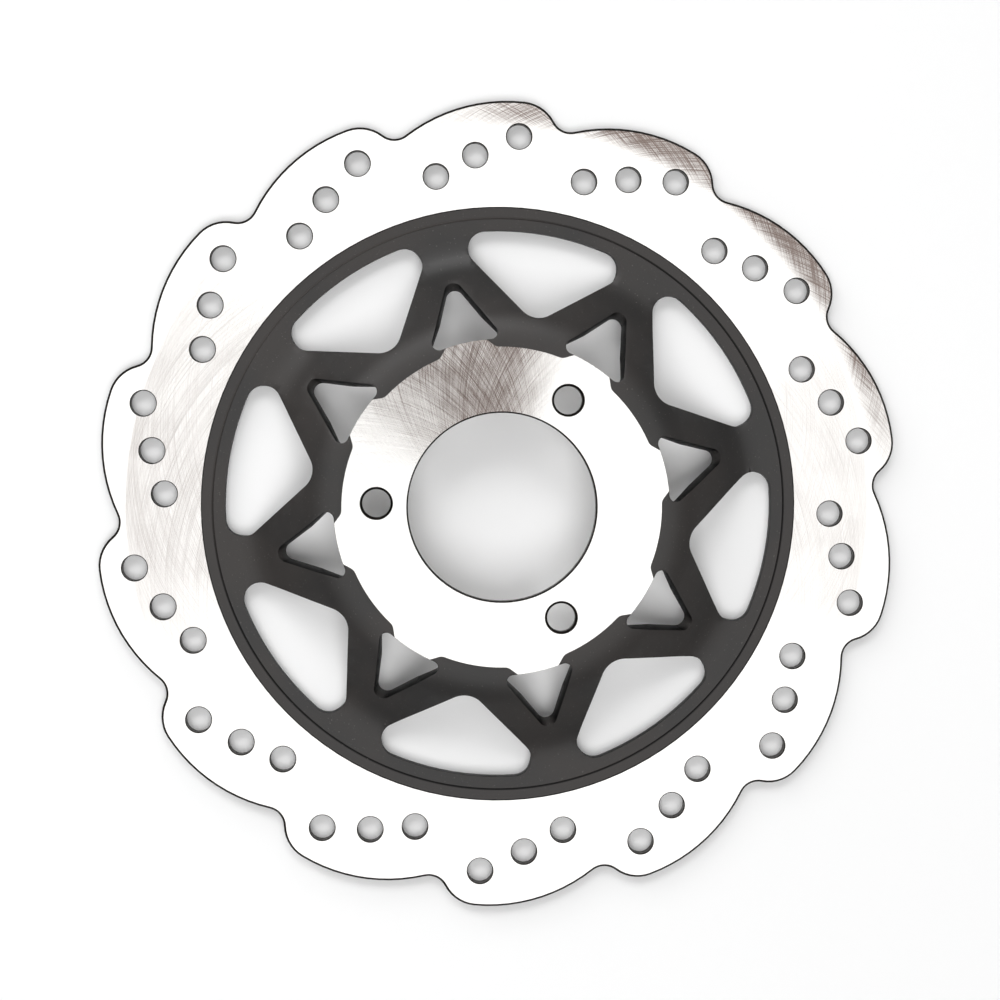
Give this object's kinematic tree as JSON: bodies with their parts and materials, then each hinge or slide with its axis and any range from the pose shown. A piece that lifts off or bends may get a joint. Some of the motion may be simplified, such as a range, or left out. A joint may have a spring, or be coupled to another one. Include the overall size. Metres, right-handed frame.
{
  "type": "brake disc",
  "caption": "Dished petal brake disc for a light motorcycle: ground friction ring with cooling holes, black windowed carrier, ground hub flange with centring bore and bolt holes.",
  "frame": {"origin": "on the disc's axis, in the lower face of the friction ring", "axes": "+Z along the disc's axis, from the friction ring towards the raised hub face; one bolt hole lies close to the -X axis"},
  "size_m": [0.2608, 0.2638, 0.022],
  "materials": {
    "ground_steel": "surface ground, fine crossed scratches",
    "black_paint": "satin black heat-resistant coat"
  },
  "bodies": {
    "root": {"friction_ring": "ground_steel", "carrier_rim": "black_paint", "carrier_web": "black_paint", "hub_flange": "ground_steel"}
  },
  "joints": []
}
